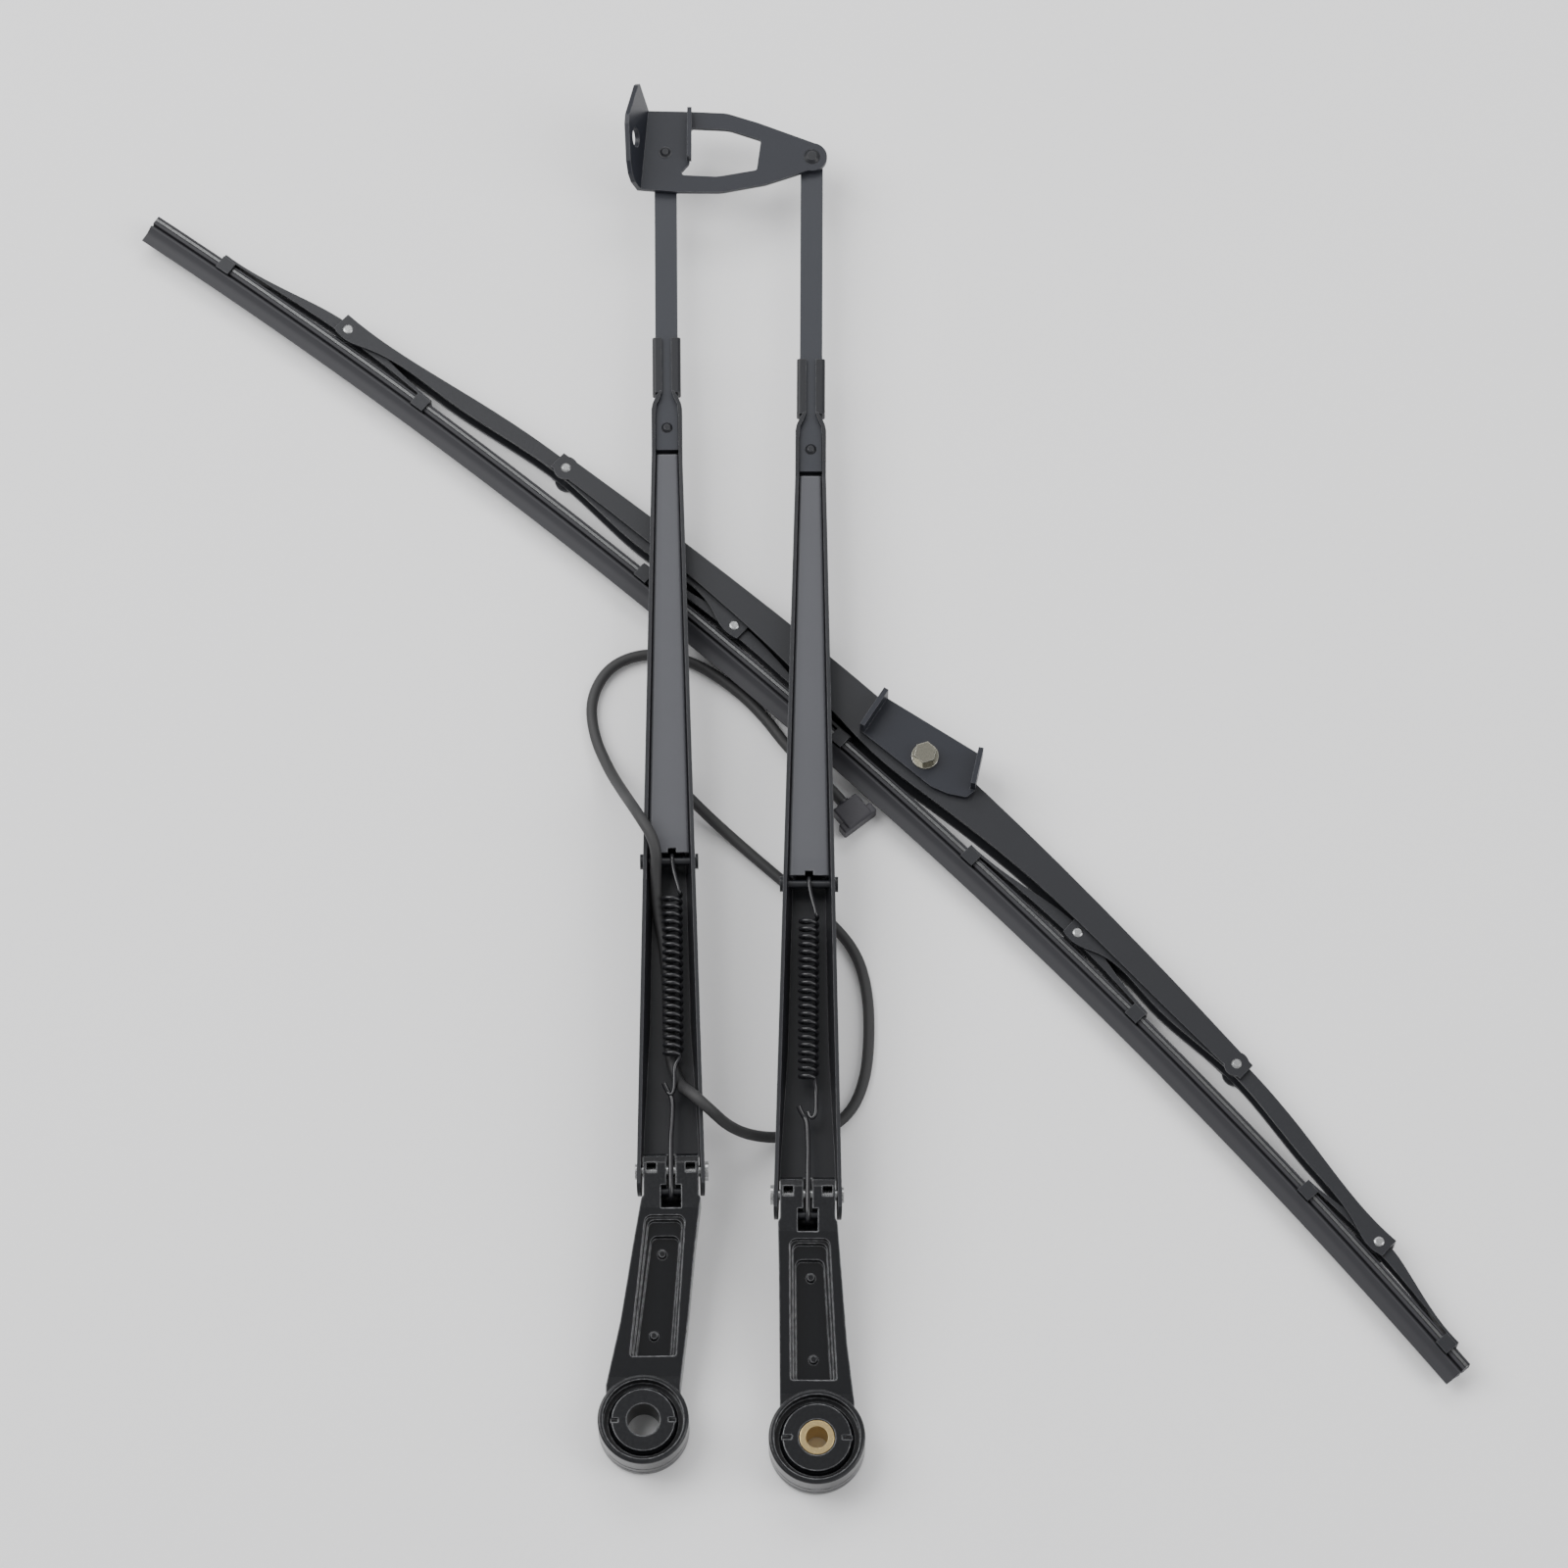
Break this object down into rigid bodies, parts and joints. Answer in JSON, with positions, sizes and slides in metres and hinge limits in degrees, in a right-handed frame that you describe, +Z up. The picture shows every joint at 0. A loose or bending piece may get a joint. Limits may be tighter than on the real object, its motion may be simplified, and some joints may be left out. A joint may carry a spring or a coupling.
{
  "type": "twin-arm windshield wiper",
  "caption": "Twin-arm parallelogram windshield wiper with cast heads, spring-loaded channel arms, link plate, framed blade and washer hose.",
  "frame": {"origin": "axis of the drive head's spindle bore, in the plane the assembly lies on", "axes": "+X from the idler arm towards the drive arm, +Y from the spindle heads towards the link plate, +Z up, away from the surface it lies on"},
  "size_m": [0.524, 0.5792, 0.0417],
  "materials": {
    "arm_paint": "satin black paint",
    "strip_paint": "satin dark grey paint",
    "rod_paint": "satin black paint",
    "head_paint": "black paint over die cast metal",
    "plate_paint": "satin black paint",
    "blade_paint": "semi-matte black paint",
    "pin_steel": "bare rivet steel, worn black",
    "spring_steel": "black coated spring wire",
    "rail_steel": "bright spring strip",
    "zinc": "zinc plated",
    "brass": "machined brass",
    "rubber": "matte black rubber",
    "hose_rubber": "matte dark grey rubber",
    "black_plastic": "moulded black plastic"
  },
  "bodies": {
    "blade": {"primary_bridge": "blade_paint", "upper_bridge_pin": "pin_steel", "lower_bridge_pin": "pin_steel", "wiper_rubber": "rubber", "spline_rails": "rail_steel", "adapter_plate": "plate_paint", "adapter_bolt": "zinc", "adapter_washer": "zinc", "adapter_nut": "zinc"},
    "upper_secondary": {"upper_secondary_bridge": "blade_paint", "yoke_pin_1": "pin_steel", "yoke_pin_2": "pin_steel"},
    "lower_secondary": {"lower_secondary_bridge": "blade_paint", "yoke_pin_3": "pin_steel", "yoke_pin_4": "pin_steel"},
    "yoke_1": {"claw_yoke_1": "blade_paint"},
    "yoke_2": {"claw_yoke_2": "blade_paint"},
    "yoke_3": {"claw_yoke_3": "blade_paint"},
    "yoke_4": {"claw_yoke_4": "blade_paint"},
    "idler_arm": {"idler_arm_channel": "arm_paint", "idler_arm_strip": "strip_paint", "idler_arm_rod": "rod_paint", "idler_rod_rivet": "arm_paint", "idler_hinge_pin": "pin_steel", "idler_cross_pin": "arm_paint", "idler_tension_spring": "spring_steel", "idler_spring_link": "spring_steel", "washer_hose": "hose_rubber", "hose_connector": "black_plastic", "washer_jet": "black_plastic"},
    "idler_head": {"idler_head": "head_paint", "idler_hook_pin": "arm_paint"},
    "link_plate": {"link_plate": "plate_paint", "idler_link_washer": "arm_paint", "idler_link_rivet": "arm_paint", "drive_link_washer": "arm_paint", "drive_link_rivet": "arm_paint"},
    "drive_arm": {"drive_arm_channel": "arm_paint", "drive_arm_strip": "strip_paint", "drive_arm_rod": "rod_paint", "drive_rod_rivet": "arm_paint", "drive_hinge_pin": "pin_steel", "drive_cross_pin": "arm_paint", "drive_tension_spring": "spring_steel", "drive_spring_link": "spring_steel"},
    "drive_head": {"drive_head": "head_paint", "drive_spindle_insert": "brass", "drive_hook_pin": "arm_paint"}
  },
  "joints": [
    {"name": "upper_secondary_rock", "type": "hinge", "parent": "blade", "child": "upper_secondary", "pos_m": [-0.1, 0.3998, 0.007], "axis": [0, 0, 1], "range_deg": [-3, 3], "stiffness_Nm_per_rad": 0.5, "deforming": ["wiper_rubber", "spline_rails"]},
    {"name": "lower_secondary_rock", "type": "hinge", "parent": "blade", "child": "lower_secondary", "pos_m": [0.163, 0.14927, 0.007], "axis": [0, 0, 1], "range_deg": [-3, 3], "stiffness_Nm_per_rad": 0.5, "deforming": ["wiper_rubber", "spline_rails"]},
    {"name": "yoke_1_rock", "type": "hinge", "parent": "upper_secondary", "child": "yoke_1", "pos_m": [-0.18897, 0.46127, 0.007], "axis": [0, 0, 1], "range_deg": [-4, 4], "stiffness_Nm_per_rad": 0.1, "deforming": ["wiper_rubber", "spline_rails"]},
    {"name": "yoke_2_rock", "type": "hinge", "parent": "upper_secondary", "child": "yoke_2", "pos_m": [-0.03236, 0.33259, 0.007], "axis": [0, 0, 1], "range_deg": [-4, 4], "stiffness_Nm_per_rad": 0.1, "deforming": ["wiper_rubber", "spline_rails"]},
    {"name": "yoke_3_rock", "type": "hinge", "parent": "lower_secondary", "child": "yoke_3", "pos_m": [0.10234, 0.20358, 0.007], "axis": [0, 0, 1], "range_deg": [-4, 4], "stiffness_Nm_per_rad": 0.1, "deforming": ["wiper_rubber", "spline_rails"]},
    {"name": "yoke_4_rock", "type": "hinge", "parent": "lower_secondary", "child": "yoke_4", "pos_m": [0.21617, 0.07828, 0.007], "axis": [0, 0, 1], "range_deg": [-4, 4], "stiffness_Nm_per_rad": 0.1, "deforming": ["wiper_rubber", "spline_rails"]},
    {"name": "arms_lift_off_blade", "type": "slide", "parent": "blade", "child": "idler_arm", "axis": [0, 0, 1], "range_m": [0, 0.15]},
    {"name": "idler_arm_fold", "type": "hinge", "parent": "idler_arm", "child": "idler_head", "pos_m": [-0.0559, 0.1032, 0.0225], "axis": [0.9999, 0.0115, 0], "range_deg": [0, 70], "stiffness_Nm_per_rad": 2, "springref_deg": -34.38, "deforming": ["idler_tension_spring", "idler_spring_link"]},
    {"name": "link_swing", "type": "hinge", "parent": "idler_arm", "child": "link_plate", "pos_m": [-0.06088, 0.53527, 0.02], "axis": [0, 0, 1], "range_deg": [-45, 45], "deforming": ["washer_hose"]},
    {"name": "drive_arm_swing", "type": "hinge", "parent": "link_plate", "child": "drive_arm", "pos_m": [-0.00118, 0.53339, 0.02], "axis": [0, 0, 1], "range_deg": [-45, 45]},
    {"name": "drive_arm_fold", "type": "hinge", "parent": "drive_arm", "child": "drive_head", "pos_m": [-0.0034, 0.0938, 0.0225], "axis": [1, -0.0051, 0], "range_deg": [0, 70], "stiffness_Nm_per_rad": 2, "springref_deg": -34.38, "deforming": ["drive_tension_spring", "drive_spring_link"]}
  ],
  "couplings": [
    {"joint": "drive_arm_swing", "follows": "link_swing", "ratio": -1}
  ]
}
